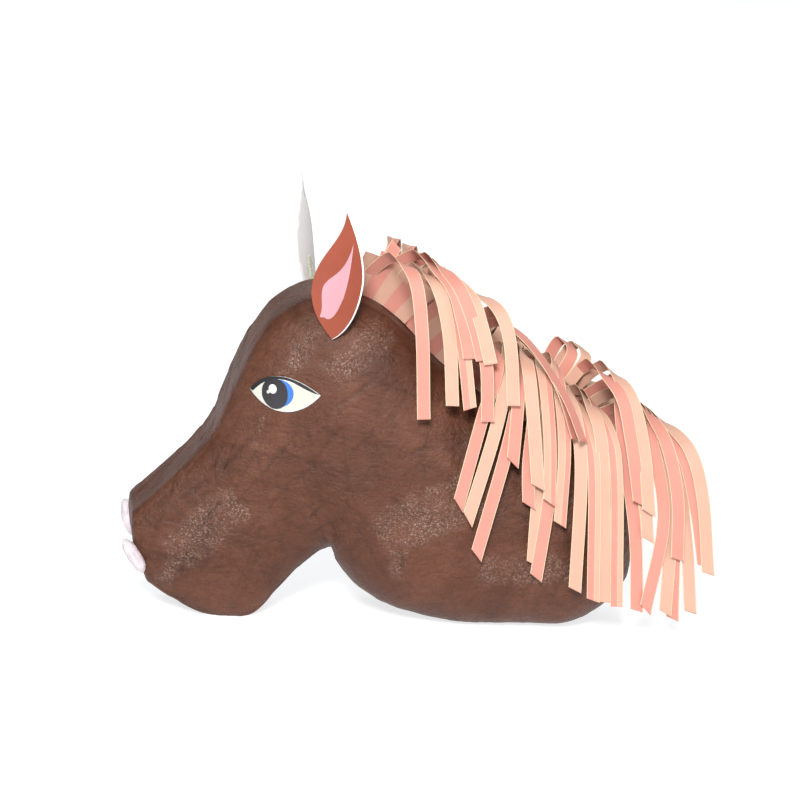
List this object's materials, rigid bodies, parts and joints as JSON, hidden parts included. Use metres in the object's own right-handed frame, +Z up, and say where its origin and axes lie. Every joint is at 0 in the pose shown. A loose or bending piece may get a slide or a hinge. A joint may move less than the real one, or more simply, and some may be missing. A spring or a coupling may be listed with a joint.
{
  "type": "pinata",
  "caption": "Horse-head pinata: brown papier-mache shell on a flat neck base, card ears and eyes, curled paper fringe mane, hinged fill flap.",
  "frame": {"origin": "middle of the flat face under the neck, on the head's middle plane, at the height of the surface it rests on", "axes": "+Z up; -X towards the nose, +X towards the cut end of the neck; -Y is the side the mane hangs over, +Y the side with the fill flap"},
  "size_m": [0.5749, 0.2003, 0.4304],
  "materials": {
    "papier_mache": "chocolate-brown paint, semi-gloss over torn-paper ridges",
    "plain_cardboard": "plain corrugated board",
    "ear_card": "printed card, satin, white back",
    "eye_card": "printed card, satin",
    "glue": "clear yellowish hot-melt glue",
    "nostril_paint": "puffy pale pink paint",
    "mane_paper": "matte thick paper, dusty pink and peach stripes"
  },
  "bodies": {
    "head": {"near_side_shell": "papier_mache", "far_side_shell": "papier_mache", "crest_band": "papier_mache", "face_band": "papier_mache", "jaw_band": "papier_mache", "neck_base_band": "papier_mache", "neck_end_band": "papier_mache", "hanger_board": "plain_cardboard", "near_ear": "ear_card", "far_ear": "ear_card", "near_ear_glue": "glue", "far_ear_glue": "glue", "near_eye": "eye_card", "far_eye": "eye_card", "near_nostril": "nostril_paint", "far_nostril": "nostril_paint", "mane_fringe_near_1": "mane_paper", "mane_fringe_near_2": "mane_paper", "mane_fringe_near_3": "mane_paper", "mane_fringe_near_4": "mane_paper", "mane_fringe_near_5": "mane_paper", "mane_fringe_near_6": "mane_paper", "mane_fringe_far_1": "mane_paper", "mane_fringe_far_2": "mane_paper", "mane_fringe_far_3": "mane_paper"},
    "flap": {"fill_flap": "papier_mache"}
  },
  "joints": [
    {"name": "flap_crease", "type": "hinge", "parent": "head", "child": "flap", "pos_m": [-0.065, 0.0925, 0.15], "axis": [1, 0, 0], "range_deg": [0, 110]}
  ]
}
